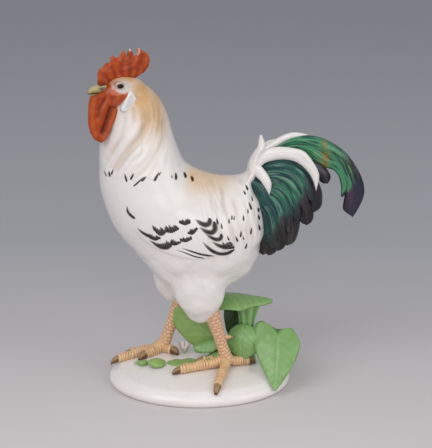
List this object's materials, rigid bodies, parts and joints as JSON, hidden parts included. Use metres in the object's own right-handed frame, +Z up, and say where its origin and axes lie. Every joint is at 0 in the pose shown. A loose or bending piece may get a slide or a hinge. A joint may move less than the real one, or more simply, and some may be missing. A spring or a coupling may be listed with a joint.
{
  "type": "rooster figurine",
  "caption": "Glazed porcelain rooster standing on an oval mound with green leaves, tail raised and head turned aside.",
  "frame": {"origin": "middle of the mound's flat underside, on the surface that the figurine stands on", "axes": "+Z up, -X where the bird looks, -Y its left side"},
  "size_m": [0.1893, 0.1, 0.2455],
  "materials": {
    "mound_glaze": "clear gloss glaze over a white mound",
    "white_glaze": "clear gloss glaze with brush marks in black-brown and tan",
    "comb_enamel": "brick-red enamel, satin to gloss",
    "beak_enamel": "horn-coloured enamel",
    "lobe_glaze": "white glaze with a pale grey-blue wash",
    "leg_enamel": "peach-tan enamel with brick-red scale lines",
    "tail_enamel": "green-black enamel",
    "covert_enamel": "teal enamel with fine strokes",
    "sickle_enamel": "green enamel fading to purple-black",
    "leaf_enamel": "leaf-green enamel, gloss",
    "blossom_enamel": "pale pink enamel"
  },
  "bodies": {
    "root": {"base": "mound_glaze", "body_shell": "white_glaze", "neck_shell": "white_glaze", "head": "comb_enamel", "beak": "beak_enamel", "comb": "comb_enamel", "coverts_left": "covert_enamel", "coverts_right": "covert_enamel", "crescent_left": "white_glaze", "crescent_right": "white_glaze", "earlobe_left": "lobe_glaze", "earlobe_right": "lobe_glaze", "flower": "blossom_enamel", "leaf_bud": "leaf_enamel", "leaf_fold": "leaf_enamel", "leaf_ground": "leaf_enamel", "leaf_heart": "leaf_enamel", "leaf_low": "leaf_enamel", "leaf_rear": "leaf_enamel", "leaf_rolled": "leaf_enamel", "leaf_small": "leaf_enamel", "leaf_top": "leaf_enamel", "leaf_upright": "leaf_enamel", "plant_stem": "leaf_enamel", "plume_left": "white_glaze", "plume_right": "white_glaze", "shank_left": "leg_enamel", "shank_right": "leg_enamel", "sickle_green": "sickle_enamel", "sickle_white": "white_glaze", "side_stalk": "leaf_enamel", "spur_left": "leg_enamel", "spur_right": "leg_enamel", "tail_fan": "tail_enamel", "tail_spike": "white_glaze", "thigh_left": "white_glaze", "thigh_right": "white_glaze", "toe_left_hind": "leg_enamel", "toe_left_inner": "leg_enamel", "toe_left_middle": "leg_enamel", "toe_left_outer": "leg_enamel", "toe_right_hind": "leg_enamel", "toe_right_inner": "leg_enamel", "toe_right_middle": "leg_enamel", "toe_right_outer": "leg_enamel", "wattle_left": "comb_enamel", "wattle_right": "comb_enamel", "wing_left": "white_glaze", "wing_right": "white_glaze"}
  },
  "joints": []
}
